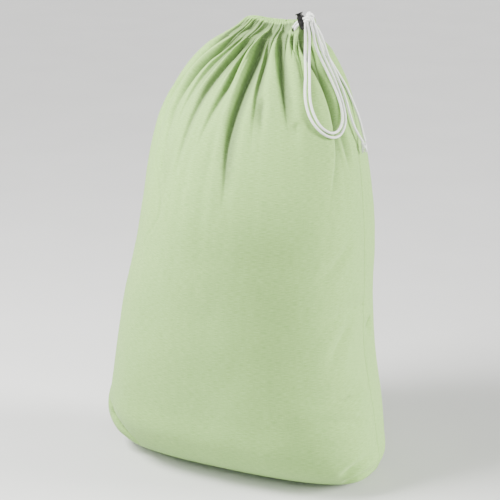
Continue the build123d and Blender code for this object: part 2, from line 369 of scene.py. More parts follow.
def smooth_table(heights, knots, values):
    """Smooth curve through a table's values: cubic pieces with slopes from the neighbouring knots."""
    slopes = np.gradient(values, knots)
    index = np.clip(np.searchsorted(knots, heights) - 1, 0, len(knots) - 2)
    step = knots[index + 1] - knots[index]
    t = (heights - knots[index]) / step
    return (
        (2 * t**3 - 3 * t**2 + 1) * values[index]
        + (t**3 - 2 * t**2 + t) * step * slopes[index]
        + (3 * t**2 - 2 * t**3) * values[index + 1]
        + (t**3 - t**2) * step * slopes[index + 1]
    )


def smoothstep(low, high, value):
    t = np.clip((value - low) / (high - low), 0, 1)
    return t * t * (3 - 2 * t)


def bell(value, width, power=2):
    """1 at zero, falling to nothing over a few widths."""
    return np.exp(-((value / width) ** power))


def wrapped(share):
    """A share of the girth, brought between -0.5 and 0.5."""
    return np.mod(share + 0.5, 1.0) - 0.5


def oval(half_width, half_depth, centre, power, around):
    """Points round an oval at shares of its girth: 0 front, 0.25 at +X, 0.5 back, -0.25 at -X."""
    angle = np.linspace(-math.pi / 2, 3 * math.pi / 2, 1441)
    across = np.cos(angle)
    along = np.sin(angle)
    x = centre + half_width * np.sign(across) * np.abs(across) ** (2 / power)
    y = half_depth * np.sign(along) * np.abs(along) ** (2 / power)
    girth = np.concatenate([[0], np.cumsum(np.hypot(np.diff(x), np.diff(y)))])
    share = np.mod(around, 1.0) * girth[-1]
    return np.interp(share, girth, x), np.interp(share, girth, y), girth[-1]


def body_outline(height, around):
    """Points on the plain outside of the bag, before its folds, at one height."""
    width, depth, centre = (
        float(smooth_table(np.array([height]), LEVELS[:, 0] * MM, LEVELS[:, k] * MM)[0]) for k in (1, 2, 3)
    )
    power = float(smooth_table(np.array([height]), LEVELS[:, 0] * MM, LEVELS[:, 4])[0])
    return oval(width, depth, centre, power, around)


# ---------------------------------------------------------------------------
# Folds. Each line is given as (share of the girth, height in mm) from its top to its foot,
# and each fold as (line, rise in mm, half width in mm, open top): rise is negative for a valley.
# ---------------------------------------------------------------------------
FOLDS = [
    # the long valley and ridge left of the middle of the front
    (
        [(-0.009, 735), (-0.004, 712), (0.004, 690), (0.006, 650), (0.009, 592), (0.016, 524), (0.017, 480)],
        -13, 5.5, 1,
    ),
    ([(-0.014, 738), (-0.015, 709), (-0.010, 679), (-0.008, 653), (-0.005, 600), (0.001, 540)], 4.5, 7, 1),
    # valleys that fan out to the left shoulder
    ([(-0.045, 738), (-0.042, 714), (-0.034, 665), (-0.034, 640), (-0.038, 590), (-0.039, 540)], -8, 6, 1),
    ([(-0.047, 741), (-0.071, 710), (-0.083, 661), (-0.078, 628), (-0.071, 560), (-0.064, 500)], -8, 6, 1),
    ([(-0.126, 735), (-0.140, 704), (-0.150, 685), (-0.139, 629), (-0.119, 580), (-0.095, 500)], -7.5, 6, 1),
    ([(-0.195, 735), (-0.203, 700), (-0.197, 671), (-0.175, 630), (-0.157, 580), (-0.150, 520)], -6, 6, 1),
    ([(-0.100, 736), (-0.112, 700), (-0.114, 660), (-0.106, 610), (-0.096, 560)], -5, 5, 1),
    # short folds in the middle
    ([(0.022, 732), (0.011, 717), (0.007, 700)], -4, 3.5, 1),
    ([(0.062, 655), (0.062, 627), (0.067, 605), (0.072, 585)], -3, 6, 0),
    ([(0.127, 615), (0.125, 600), (0.119, 580)], -2, 5, 0),
    # ridges and valleys right of the middle
    ([(0.030, 736), (0.044, 722), (0.062, 701), (0.070, 667), (0.078, 620), (0.080, 560)], 3.5, 9, 1),
    ([(0.012, 732), (0.030, 712), (0.040, 690), (0.044, 655), (0.050, 600), (0.052, 560)], -8, 8, 1),
    ([(0.060, 738), (0.070, 722), (0.084, 700), (0.097, 665), (0.108, 615), (0.113, 560)], -10, 6, 1),
    ([(0.099, 734), (0.118, 710), (0.132, 685), (0.142, 650), (0.150, 590)], 3, 8, 1),
    ([(0.115, 738), (0.124, 721), (0.143, 699), (0.160, 680)], -6, 5, 1),
    ([(0.142, 738), (0.148, 718), (0.162, 700)], 3.5, 5, 1),
    # the long valley under the drawstring's loop
    (
        [(0.150, 735), (0.159, 718), (0.187, 677), (0.198, 628), (0.194, 571), (0.174, 510), (0.162, 476)],
        -7, 4.5, 1,
    ),
    ([(0.211, 610), (0.216, 555), (0.216, 525)], -3, 4, 0),
    # a sharp storage crease down the left, and its kink
    (
        [(-0.155, 567), (-0.106, 511), (-0.089, 462), (-0.118, 409), (-0.090, 385), (-0.069, 345)],
        -0.9, 2.4, 0,
    ),
    # wrinkles that sag from the right side seam
    ([(0.215, 425), (0.168, 388), (0.135, 358)], -2.5, 8, 0),
    ([(0.267, 305), (0.188, 311), (0.145, 285)], -2.5, 10, 0),
    ([(0.218, 297), (0.181, 254), (0.165, 208)], -3, 10, 0),
    ([(0.240, 171), (0.165, 173), (0.120, 160)], -3, 12, 0),
    ([(0.228, 122), (0.162, 141), (0.120, 121)], -3, 10, 0),
    ([(0.285, 276), (0.270, 262), (0.250, 262)], -5, 7, 0),
    # puckers at the two lower corners
    ([(0.170, 40), (0.207, 60), (0.248, 62)], -4.0, 5, 0),
    ([(0.180, 22), (0.213, 35), (0.262, 36)], -4.0, 4.5, 0),
    ([(0.195, 10), (0.231, 18), (0.262, 20)], -3.5, 4, 0),
    ([(-0.176, 74), (-0.163, 56), (-0.150, 36), (-0.144, 22)], -11.0, 6, 1),
    ([(-0.235, 70), (-0.205, 58), (-0.175, 34)], -3.5, 6, 0),
    ([(-0.225, 40), (-0.195, 28), (-0.165, 16)], -3.0, 5, 0),
]


HIDDEN_FOLDS = 15
HIDDEN_WRINKLES = 12
FOLD_DEPTH = 2.5             # what a listed rise is multiplied by, for folds that start at the top
WRINKLE_DEPTH = 1.8          # and for wrinkles that are closed at both ends
LEAN = 0.72                  # how much steeper a valley's left wall is than its right one


def hidden_side_folds():
    """Folds of the same kind for the back and the far side: valleys and ridges in turn."""
    folds = []
    for number in range(HIDDEN_FOLDS):
        around = 0.27 + 0.46 * (number + 0.5) / HIDDEN_FOLDS + rng.uniform(-0.008, 0.008)
        drift = rng.uniform(-0.025, 0.025)
        bow = rng.uniform(-0.008, 0.008)
        foot = rng.choice([640, 600, 560, 505]) + rng.uniform(-15, 15)
        line = []
        for step in range(6):
            t = step / 5
            sideways = around + drift * (1 - t) ** 2 + bow * math.sin(math.pi * t)
            line.append((sideways, FOLD_TOP + (foot - FOLD_TOP) * t))
        deep = rng.uniform(4.5, 8.5)
        rise = -deep if number % 3 else 0.7 * deep
        folds.append((line, rise, rng.uniform(4.5, 8), 1))
    for _ in range(HIDDEN_WRINKLES):
        around = rng.uniform(0.28, 0.72)
        height = rng.uniform(60, 430)
        run = rng.uniform(0.04, 0.09) * rng.choice([-1, 1])
        fall = rng.uniform(-45, 45)
        line = [(around, height), (around + run / 2, height + fall / 2 + 8), (around + run, height + fall)]
        folds.append((line, -rng.uniform(0.5, 1.1), rng.uniform(9, 15), 0))
    return folds


def smooth_line(points, steps=12):
    """A smooth line through a fold's points."""
    points = np.array(points, float)
    padded = np.vstack([2 * points[0] - points[1], points, 2 * points[-1] - points[-2]])
    line = []
    for k in range(1, len(padded) - 2):
        before, start, end, after = padded[k - 1 : k + 3]
        for t in np.linspace(0, 1, steps, endpoint=False):
            line.append(
                0.5
                * (
                    2 * start
                    + (end - before) * t
                    + (2 * before - 5 * start + 4 * end - after) * t**2
                    + (3 * start - before - 3 * end + after) * t**3
                )
            )
    line.append(points[-1])
    return np.array(line)


def fold_relief(around, height, girth):
    """Rise in mm at each grid point from all the folds."""
    relief = np.zeros_like(around)
    creased = np.zeros_like(around)
    for line, rise, half_width, open_top in FOLDS + hidden_side_folds():
        path = smooth_line(line)
        reach = 9 * half_width
        low = path[:, 1].min() - reach
        high = path[:, 1].max() + reach
        rows = np.where((height[:, 0] > low) & (height[:, 0] < high))[0]
        if len(rows) == 0:
            continue
        window = slice(rows[0], rows[-1] + 1)
        near = np.full(around[window].shape, 1e9)
        place = np.zeros_like(near)
        to_right = np.zeros_like(near)
        offset = wrapped(around[window] - path[0, 0]) + path[0, 0]
        for k in range(len(path) - 1):
            start_x = (offset - path[k, 0]) * girth[window]
            start_y = height[window] - path[k, 1]
            run_x = (path[k + 1, 0] - path[k, 0]) * girth[window]
            run_y = path[k + 1, 1] - path[k, 1]
            t = np.clip((start_x * run_x + start_y * run_y) / (run_x**2 + run_y**2), 0, 1)
            gap = (start_x - t * run_x) ** 2 + (start_y - t * run_y) ** 2
            closer = gap < near
            near = np.where(closer, gap, near)
            place = np.where(closer, (k + t) / (len(path) - 1), place)
            to_right = np.where(closer, run_x * start_y - run_y * start_x, to_right)
        distance = np.sqrt(near)
        taper = smoothstep(0, 0.75, 1 - place)
        if not open_top:
            taper = taper * smoothstep(0, 0.25, place)
        widen = half_width * (1 + 0.5 * place)
        if rise < 0:
            soft = np.sqrt(near + 0.4)
            skirt = 0.38 * open_top
            lean = np.where(to_right > 0, 1 + LEAN * open_top, 1 - LEAN * open_top)
            slit = widen * lean
            apron = widen * np.where(to_right > 0, 3.0, 3.0 - 1.8 * open_top)
            core = (1 - skirt) * bell(soft, slit, 1.2) + skirt * np.exp(-soft / apron)
            side = 0.22 * (1 - open_top) * bell(distance - 2.1 * widen, 0.9 * widen)
        else:
            core = bell(distance, widen)
            side = 0.12 * bell(distance - 2.2 * widen, 0.8 * widen)
        change = (FOLD_DEPTH if open_top else WRINKLE_DEPTH) * rise * taper * (core - side)
        if rise < 0 and open_top:
            creased[window] = np.minimum(creased[window], change)
        else:
            relief[window] += change
    gathered = smoothstep(520, 640, height) * (1 - smoothstep(700, 735, height))
    return relief + creased + 4.5 * gathered


def value_noise(x, y, seed):
    """Smooth noise between -1 and 1 over a plane of unit cells."""
    table = np.random.default_rng(seed).uniform(-1, 1, (64, 64))
    cell_x = np.floor(x).astype(int)
    cell_y = np.floor(y).astype(int)
    fx = x - cell_x
    fy = y - cell_y
    fx = fx * fx * (3 - 2 * fx)
    fy = fy * fy * (3 - 2 * fy)
    corner = [
        [table[(cell_x + i) % 64, (cell_y + j) % 64] for j in (0, 1)] for i in (0, 1)
    ]
    low = corner[0][0] * (1 - fx) + corner[1][0] * fx
    high = corner[0][1] * (1 - fx) + corner[1][1] * fx
    return low * (1 - fy) + high * fy


def ring_noise(around, height, cells, cell_height, seed):
    """Noise that joins up round the bag: cells round the girth, cell_height mm tall."""
    angle = 2 * math.pi * around
    radius = cells / (2 * math.pi)
    first = value_noise(radius * np.cos(angle) + 20, height / cell_height + 3.7, seed)
    second = value_noise(radius * np.sin(angle) + 20, height / cell_height + 9.1, seed + 1)
    return 0.7 * (first + second)


def pleat_relief(around, height):
    """Gathers under and in the casing: narrow at the top, merging into fewer and wider ones below."""
    drop = (RIM - height) / 100
    phase = (
        around
        + 0.0045 * np.sin(2 * math.pi * 3 * around + 1.3)
        + 0.0030 * np.sin(2 * math.pi * 8 * around + 0.4)
        + 0.0016 * np.sin(2 * math.pi * 19 * around + 2.0)
        + 0.0030 * drop * np.sin(2 * math.pi * 5 * around + 0.9)
        + 0.0012 * value_noise(around * 40 + 7, drop * 2.2, 5)
    )
    relief = np.zeros_like(around)
    # (pleats round the bag, rise in mm, top fade, foot fade, share kept where listed folds lie)
    tiers = (
        (40, 9.0, (780, 770), (690, 718), 1.0),
        (20, 9.5, (752, 722), (620, 690), 0.6),
        (10, 8.0, (722, 690), (520, 650), 0.12),
    )
    front = bell(np.abs(wrapped(around)), 0.215, 8)
    for count, rise, top, foot, kept in tiers:
        angle = math.pi * count * phase
        wave = np.sqrt(np.abs(np.sin(angle)) + 0.004) - 0.76
        uneven = 0.8 + 0.35 * np.sin(angle * 0.76 + count)
        fade = (1 - smoothstep(top[1], top[0], height)) * smoothstep(foot[0], foot[1], height)
        share = 1 - front * (1 - kept)
        relief += rise * wave * uneven * fade * share
    return relief


MEAN_GIRTH = 1150             # mm, for the width of the puckers


def side_seam_relief(around, height):
    """The two side seams pull the cloth in a little and pucker it."""
    relief = np.zeros_like(around)
    for seam in (0.25, 0.75):
        away = np.abs(wrapped(around - seam)) * MEAN_GIRTH
        pucker = np.sin(height / 3.1 + 1.5 * np.sin(height / 17)) * (0.6 + 0.4 * np.sin(height / 41))
        relief += -0.7 * bell(away, 2.6) + 0.35 * pucker * bell(away, 12)
    return relief * smoothstep(5, 30, height) * (1 - 0.7 * smoothstep(700, 722, height))


def body_relief(around, height):
    """Slow unevenness from what fills the bag, and faint vertical drag lines below the gathers."""
    slow = 2.6 * ring_noise(around, height, 13, 150, 11) + 1.5 * ring_noise(around, height, 26, 75, 21)
    drag = 1.5 * ring_noise(around, height, 85, 260, 31) * smoothstep(300, 580, height)
    fine = 0.28 * ring_noise(around, height, 110, 22, 41)
    calm = smoothstep(6, 60, height) * (1 - 0.8 * smoothstep(640, 720, height))
    return (slow + drag + fine) * calm


def casing_relief(height):
    """The stitch row pinches the casing, and the drawstring's channel swells above it."""
    return -1.0 * bell(height - STITCHES, 1.8) + 1.1 * bell(height - FOLD_TOP, 8.0)


# ---------------------------------------------------------------------------
# Cloth grid
# ---------------------------------------------------------------------------
COLUMNS = 640                # round the whole bag
HIGHEST_FOLD = 13            # mm out from the plain outline
DEEPEST_FOLD = 26            # and in
ALLOWANCE = (4.0, 8.0)       # mm, two steps across the seam allowance
PANEL_WIDTH = 0.61           # each panel, laid flat
EXIT_POINT = np.array([93.5, -23.4, 739.5])
EXIT_ACROSS = np.array([0.94, 0.18, 0.0])
EXIT_OUT = np.array([0.18, -0.94, 0.28])


def unit(vector):
    vector = np.asarray(vector, float)
    return vector / np.linalg.norm(vector, axis=-1, keepdims=True)


def row_heights():
    """Heights of the rows on the outside, from the rim down, in mm: close together where pleated."""
    upper = np.arange(RIM, 640, -1.6)
    middle = np.arange(640, 14, -3.2)
    lower = np.array([13, 10.5, 8, 6, 4.2, 2.6, 1.2, 0.0])
    return np.concatenate([upper, middle, lower])


def outside_grid():
    """The outside of the bag, folds and all: rows of points in mm, from the rim to the base."""
    heights = row_heights()
    around = np.arange(COLUMNS) / COLUMNS - 0.25
    plain = np.zeros((len(heights), COLUMNS, 3))
    girths = np.zeros(len(heights))
    for row, height in enumerate(heights):
        x, y, girth = body_outline(height * MM, around)
        plain[row, :, 0] = x / MM
        plain[row, :, 1] = y / MM
        plain[row, :, 2] = height
        girths[row] = girth / MM
    along = np.roll(plain, -1, axis=1) - np.roll(plain, 1, axis=1)
    down = np.gradient(plain, axis=0)
    normal = unit(np.cross(down, along))
    # near the neck the pleats rise level, so they don't lean over the rim
    lean = smoothstep(690, 740, plain[:, :, 2])[..., None]
    level = normal.copy()
    level[:, :, 2] = 0
    normal = unit(normal * (1 - lean) + unit(level) * lean)

    share = np.broadcast_to(around, plain.shape[:2])
    height = plain[:, :, 2]
    girth = np.broadcast_to(girths[:, None], height.shape)
    relief = (
        pleat_relief(share, height)
        + fold_relief(share, height, girth)
        + side_seam_relief(share, height)
        + body_relief(share, height)
        + casing_relief(height)
    )
    relief = relief * smoothstep(-2, 25, height)
    # near the rim the cloth is held by the drawstring inside the casing
    held = 1 - 0.72 * smoothstep(700, 728, height)
    up_most = HIGHEST_FOLD * held
    down_most = DEEPEST_FOLD * held
    most = np.where(relief > 0, up_most, down_most)
    relief = most * np.tanh(relief / most)
    # the casing lies flat round the buttonhole
    gap = np.linalg.norm(plain + normal * relief[..., None] - EXIT_POINT, axis=2)
    flat = bell(gap, 11, 4)
    relief = relief * (1 - flat) + 0.3 * flat
    # painted shade: 1 deep in a valley and 0 on the plain cloth; it darkens the cloth's colour in the creases
    painted_crease_shade = smoothstep(0.10, 0.85, -relief / (0.40 * down_most))
    painted_crease_shade = painted_crease_shade * np.maximum(smoothstep(430, 520, height), smoothstep(6, 9, -relief))
    return plain + normal * relief[..., None], normal, around, painted_crease_shade


def rim_dip(around):
    """How far the rim hangs below its top height, in mm: most in the middle of the front and back.
    """
    front = bell(np.abs(wrapped(around - 0.01)), 0.13)
    back = bell(np.abs(wrapped(around - 0.5)), 0.17, 4)
    left = bell(np.abs(wrapped(around + 0.25)), 0.10)
    return -8.5 * front - 7.5 * back - 4.5 * left


def neck_oval(half_width, half_depth, around):
    x, y, _ = oval(half_width, half_depth, NECK_CENTRE / MM, NECK_POWER, around)
    return x, y


def hem_grid(rim_row, around):
    """The casing's folded-in layer, from its stitched edge up to the rim, following the rim's pleats."""
    # (share of the way from the rim to the mouth, height): up from the stitching, then over the roll
    profile = [
        (0.35, 722.6), (0.72, 723.0), (0.96, 724.5), (1.0, 728), (1.0, 732), (1.0, 736), (1.0, 740),
        (0.99, 744), (0.96, 748), (0.86, 751.5), (0.70, 753.8), (0.50, 755.0), (0.30, 755.0), (0.12, 754.0),
    ]
    mouth_x, mouth_y = neck_oval(43.5, 7.5, around)
    rows = []
    for share, height in profile:
        bite = 1.3 * math.sin(math.pi * min(share, 1.0)) * np.sin(2 * math.pi * 58 * around + 6 * share)
        x = rim_row[:, 0] * (1 - share) + mouth_x * share
        y = rim_row[:, 1] * (1 - share) + mouth_y * share
        z = height + 0.6 * bite + rim_dip(around) * smoothstep(STITCHES, RIM, height)
        rows.append(np.stack([x, y, z], axis=1))
    return np.array(rows)


def base_grid(foot_row):
    """The underside: the cloth runs in from the base's outline to the bottom seam on the middle line."""
    rows = []
    for step in range(1, 13):
        t = step / 12
        x = 20 + (foot_row[:, 0] - 20) * (1 - t + t * 172 / 183)
        y = foot_row[:, 1] * (1 - t) + np.sign(foot_row[:, 1]) * 0.7 * t
        z = np.full_like(x, 0.2 + 0.9 * smoothstep(0.7, 1.0, t))
        rows.append(np.stack([x, y, z], axis=1))
    return np.array(rows)


def grid_mesh(name, rows, uv, drop_face):
    """A mesh from a grid of points (rows, columns, 3) in mm, less the faces that drop_face marks."""
    count_rows, count_columns = rows.shape[:2]
    index = np.arange(count_rows * count_columns).reshape(count_rows, count_columns)
    faces = np.stack(
        [index[:-1, :-1], index[1:, :-1], index[1:, 1:], index[:-1, 1:]], axis=-1
    ).reshape(-1, 4)
    centres = rows.reshape(-1, 3)[faces].mean(axis=1)
    faces = faces[~drop_face(centres)]
    mesh = bpy.data.meshes.new(name)
    mesh.from_pydata((rows.reshape(-1, 3) * MM).tolist(), [], faces.tolist())
    layer = mesh.uv_layers.new(name="cloth")
    layer.data.foreach_set("uv", uv.reshape(-1, 2)[faces.reshape(-1)].reshape(-1).astype(np.float32))
    mesh.polygons.foreach_set("use_smooth", np.ones(len(faces), dtype=bool))
    mesh.update()
    return new_object(name, mesh)


def in_buttonhole(points):
    """Whether points (mm) lie in the cord's exit, a slot 9 mm tall and 5 mm wide in the front layer."""
    offset = points - EXIT_POINT
    up = unit(np.cross(EXIT_OUT, EXIT_ACROSS))
    across = offset @ unit(EXIT_ACROSS)
    tall = offset @ up
    deep = offset @ unit(EXIT_OUT)
    return ((across / 2.7) ** 2 + (tall / 4.8) ** 2 < 1) & (np.abs(deep) < 5)


def add_panels(material, cords):
    """The front and back panels, each one sheet of cloth with its seam allowances turned inside."""
    outside, normal, around, painted_crease_shade = outside_grid()
    outside[:, :, 2] += rim_dip(around)[None, :] * smoothstep(715, RIM, outside[:, :, 2])
    # the back of the mouth leans forward, so the opening is a narrow slit
    closing = smoothstep(741, 745, outside[:, :, 2]) * smoothstep(4, 16, outside[:, :, 1])
    outside[:, :, 1] -= 5.0 * closing
    outside = clear_of_cords(outside, normal, cords)
    outside[:, :, 2] = np.maximum(outside[:, :, 2], 0)
    hem = hem_grid(outside[0], around)
    base = base_grid(outside[-1])
    rows = np.concatenate([hem, outside, base])
    shade = np.concatenate([np.zeros(hem.shape[:2]), painted_crease_shade, np.zeros(base.shape[:2])])
    steps = np.linalg.norm(np.diff(rows, axis=0), axis=2).mean(axis=1)
    length = np.concatenate([[0], np.cumsum(steps)]) * MM

    panels = []
    for name, first in (("front_cloth", 0), ("back_cloth", COLUMNS // 2)):
        columns = (np.arange(first, first + COLUMNS // 2 + 1)) % COLUMNS
        panel = rows[:, columns]
        side = -1 if name == "front_cloth" else 1
        allowance = []
        for edge, toward in ((0, 1), (-1, -1)):
            inward = unit(panel[:, edge + 3 * toward] - panel[:, edge])
            inward[:, 0] = -np.sign(panel[:, edge, 0] - 30)
            inward[:, 1:] = 0
            for reach in ALLOWANCE:
                turned = panel[:, edge] + inward * reach
                turned[:, 1] = side * 0.7
                allowance.append(turned[:, None])
        panel = np.concatenate([allowance[1], allowance[0], panel, *allowance[2:]], axis=1)
        tone = np.pad(shade[:, columns], ((0, 0), (2, 2)))
        u = (np.arange(panel.shape[1]) - 2) / (COLUMNS // 2) * PANEL_WIDTH
        uv = np.stack(np.broadcast_arrays(u[None, :], length[:, None]), axis=2)
        piece = grid_mesh(name, panel, uv, in_buttonhole)
        # the painted crease shade is kept on each panel's points for the cloth material
        layer = piece.data.attributes.new("painted_crease_shade", "FLOAT", "POINT")
        layer.data.foreach_set("value", tone.reshape(-1).astype(np.float32))
        paint(piece, material)
        panels.append(piece)
    return panels, outside, normal


def clear_of_cords(points, normal, cords, gap=2.9):
    """Cloth points closer than gap (mm) to a cord's middle line move in, away from it."""
    points = points.copy()
    for line in cords:
        for spot in line:
            if spot[2] > 700 and np.linalg.norm(spot - EXIT_POINT) < 16:
                continue
            rows = np.where(np.abs(points[:, 0, 2] - spot[2]) < 8)[0]
            if len(rows) == 0:
                continue
            block = points[rows[0] : rows[-1] + 1]
            away = block - spot
            distance = np.linalg.norm(away, axis=2)
            near = distance < gap
            if near.any():
                push = (gap - distance[near])[:, None]
                block[near] -= normal[rows[0] : rows[-1] + 1][near] * push
    return points


# ---------------------------------------------------------------------------
# Drawstring. Routes in metres: the CAD tubes' points, used as control points of smooth lines
# ---------------------------------------------------------------------------
CORD = 4 * MM
LOCK_CENTRE = np.array([110.0, -30.0, 754.0]) * MM
BARREL_AXIS = unit([-0.4, 0.0, 0.917])
HOLE_AXIS = unit([0.83, -0.42, 0.362])
LEAD_RISE = BARREL_AXIS * 2.05 * MM
LEAD_BEND = HOLE_AXIS * -11.5 * MM
LEAD_END = HOLE_AXIS * 12.5 * MM
SPRING_FOOT = -11.5 * MM
SPRING_RISE = 4.9 * MM
SPRING_RADIUS = 3.2 * MM
SPRING_WIRE = 0.6 * MM
SPRING_TURNS = 3.5
CASING_RING = (52 * MM, 14 * MM)
CASING_RING_CENTRE = 58 * MM
CASING_RING_HEIGHT = 738 * MM


def ring_end(degrees):
    """The drawstring's place in the casing at an angle from +X towards +Y."""
    across = math.cos(math.radians(degrees))
    along = math.sin(math.radians(degrees))
    x = CASING_RING[0] * math.copysign(abs(across) ** (2 / NECK_POWER), across)
    y = CASING_RING[1] * math.copysign(abs(along) ** (2 / NECK_POWER), along)
    return (CASING_RING_CENTRE + x, y, CASING_RING_HEIGHT)


LEAD_A = [
    ring_end(-74), (0.0855, -0.0148, 0.7396), (0.0938, -0.0224, 0.7420),
    tuple(LOCK_CENTRE + LEAD_RISE + LEAD_BEND), tuple(LOCK_CENTRE + LEAD_RISE + LEAD_END),
]
LEAD_B = [
    ring_end(-377), (0.0975, -0.0120, 0.7374), (0.0942, -0.0222, 0.7370),
    tuple(LOCK_CENTRE - LEAD_RISE + LEAD_BEND), tuple(LOCK_CENTRE - LEAD_RISE + LEAD_END),
]
LOOP_A = [
    (0.1205, -0.0405, 0.753), (0.121, -0.041, 0.741), (0.121, -0.041, 0.720), (0.122, -0.044, 0.697),
    (0.128, -0.055, 0.678), (0.132, -0.068, 0.657), (0.137, -0.076, 0.639), (0.147, -0.082, 0.618),
    (0.161, -0.079, 0.600), (0.175, -0.067, 0.588), (0.184, -0.048, 0.589), (0.184, -0.028, 0.606),
    (0.176, -0.020, 0.630), (0.166, -0.017, 0.652), (0.157, -0.017, 0.673), (0.145, -0.017, 0.694),
    (0.136, -0.020, 0.717), (0.135, -0.031, 0.740), (0.1325, -0.037, 0.753),
]
LOOP_B = [
    (0.125, -0.0415, 0.753), (0.126, -0.038, 0.741), (0.126, -0.037, 0.720), (0.127, -0.041, 0.698),
    (0.133, -0.052, 0.677), (0.138, -0.064, 0.657), (0.143, -0.072, 0.639), (0.152, -0.077, 0.621),
    (0.162, -0.075, 0.605), (0.174, -0.064, 0.594), (0.181, -0.049, 0.596), (0.181, -0.033, 0.610),
    (0.174, -0.026, 0.632), (0.164, -0.024, 0.653), (0.153, -0.024, 0.674), (0.140, -0.023, 0.696),
    (0.131, -0.026, 0.717), (0.131, -0.035, 0.739), (0.1295, -0.040, 0.753),
]
TAIL_A = [
    (0.131, -0.033, 0.753), (0.137, -0.025, 0.740), (0.141, -0.015, 0.719), (0.147, -0.011, 0.697),
    (0.155, -0.008, 0.679), (0.165, -0.007, 0.659), (0.174, -0.008, 0.639), (0.181, -0.011, 0.620),
    (0.188, -0.012, 0.602), (0.194, -0.008, 0.586), (0.200, 0.001, 0.571),
]
TAIL_B = [
    (0.1265, -0.0335, 0.753), (0.131, -0.024, 0.739), (0.135, -0.012, 0.717), (0.144, -0.004, 0.697),
    (0.156, 0.002, 0.675), (0.166, 0.010, 0.655), (0.174, 0.015, 0.635), (0.182, 0.017, 0.616),
    (0.189, 0.017, 0.599), (0.195, 0.013, 0.584), (0.202, 0.006, 0.571),
]


def spline_line(points, resolution=24):
    """Points read from the smooth line that has the given control points."""
    curve = bpy.data.curves.new("route", "CURVE")
    curve.dimensions = "3D"
    spline = curve.splines.new("NURBS")
    spline.points.add(len(points) - 1)
    for target, point in zip(spline.points, points):
        target.co = (*point, 1)
    spline.order_u = 3
    spline.use_endpoint_u = True
    spline.resolution_u = resolution
    guide = bpy.data.objects.new("route", curve)
    mesh = bpy.data.meshes.new_from_object(guide)
    line = np.array([vertex.co[:] for vertex in mesh.vertices])
    bpy.data.objects.remove(guide)
    bpy.data.curves.remove(curve)
    bpy.data.meshes.remove(mesh)
    return line


def even_line(line, step):
    """The same line with its points about step apart."""
    run = np.concatenate([[0], np.cumsum(np.linalg.norm(np.diff(line, axis=0), axis=1))])
    marks = np.linspace(0, run[-1], max(2, int(round(run[-1] / step)) + 1))
    return np.stack([np.interp(marks, run, line[:, k]) for k in range(3)], axis=1), marks


def line_frames(line):
    """Two directions square to the line at each point, turning as little as possible along it."""
    tangent = unit(np.gradient(line, axis=0))
    side = np.zeros_like(line)
    start = np.cross(tangent[0], (0.3, 0.2, 1.0))
    side[0] = unit(start)
    for k in range(1, len(line)):
        carried = side[k - 1] - tangent[k] * (side[k - 1] @ tangent[k])
        side[k] = unit(carried)
    return tangent, side, np.cross(tangent, side)


def tube_rings(line, radius, sides):
    """Rings of points round a line; radius may be a number or an array (rings, sides)."""
    _, side, other = line_frames(line)
    angle = 2 * math.pi * np.arange(sides) / sides
    spokes = side[:, None] * np.cos(angle)[None, :, None] + other[:, None] * np.sin(angle)[None, :, None]
    reach = np.broadcast_to(radius, (len(line), sides))[..., None]
    return line[:, None] + spokes * reach


class Soup:
    """Collects many small grids of points into one mesh."""

    def __init__(self):
        self.points = []
        self.faces = []
        self.count = 0

    def add_rings(self, rings, capped=True):
        rows, sides = rings.shape[:2]
        index = np.arange(rows * sides).reshape(rows, sides) + self.count
        after = np.roll(index, -1, axis=1)
        quads = np.stack([index[:-1], after[:-1], after[1:], index[1:]], axis=-1).reshape(-1, 4)
        self.faces.extend(quads.tolist())
        if capped:
            self.faces.append(index[0][::-1].tolist())
            self.faces.append(index[-1].tolist())
        self.points.append(rings.reshape(-1, 3))
        self.count += rows * sides

    def piece(self, name, material):
        mesh = bpy.data.meshes.new(name)
        mesh.from_pydata(np.concatenate(self.points).tolist(), [], self.faces)
        mesh.polygons.foreach_set("use_smooth", np.ones(len(mesh.polygons), dtype=bool))
        mesh.update()
        made = new_object(name, mesh)
        paint(made, material)
        return made


BRAID_SIDES = 30
BRAID_STEP = 0.8 * MM
BRAID_BUMP = 3.8 * MM         # length of one visible strand of the braid


def braid_rings(line):
    """A braided cord: two sets of strands wind opposite ways and show as staggered bumps."""
    even, run = even_line(line, BRAID_STEP)
    angle = 2 * math.pi * np.arange(BRAID_SIDES) / BRAID_SIDES
    wind = math.pi * run / BRAID_BUMP
    right = np.cos(3 * angle[None, :] + wind[:, None])
    left = np.cos(3 * angle[None, :] - wind[:, None])
    weave = np.abs(right * left) ** 0.6
    radius = CORD / 2 * (0.83 + 0.20 * weave)
    return tube_rings(even, radius, BRAID_SIDES)


def add_cord(name, node, route, material, exit_place, far_end, lay, pieces):
    """One stretch of the drawstring, standing for its CAD tube."""
    line = spline_line(route)
    soup = Soup()
    soup.add_rings(braid_rings(line))
    cord = soup.piece(name, material)
    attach(cord, "bag")
    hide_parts(node)
    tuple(exit_place)
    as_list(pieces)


# ---------------------------------------------------------------------------
# Knots
# ---------------------------------------------------------------------------
SLIP_KNOT_CENTRE = LOCK_CENTRE + np.array([0.83, -0.42, 0.362]) * 19.5 * MM
SLIP_KNOT_UP = unit([0.1, 0.22, 0.97])
END_KNOT_CENTRE = np.array([0.2015, 0.003, 0.565])
END_KNOT_DOWN = unit([0, 0.35, -0.94])
FRAYED_FIBRES = 26           # below each of the two cut ends


def knot_space(centre, axis, toward):
    """Turns knot coordinates (across, out, along) into places, out pointing as toward does."""
    axis = unit(axis)
    out = unit(np.asarray(toward, float) - axis * np.dot(toward, axis))
    across = np.cross(out, axis)
    return lambda p: tuple(np.asarray(centre) + across * p[0] + out * p[1] + axis * p[2])


def wrap_turns(place, radius, low, high, turns, start):
    """Control points of cord wrapped round a knot's middle."""
    points = []
    steps = int(turns * 8)
    for k in range(steps + 1):
        angle = start + 2 * math.pi * turns * k / steps
        lift = low + (high - low) * k / steps
        wave = 0.25 * radius * math.sin(angle + 0.8)
        points.append(place((radius * math.cos(angle), radius * math.sin(angle), lift + wave)))
    return points


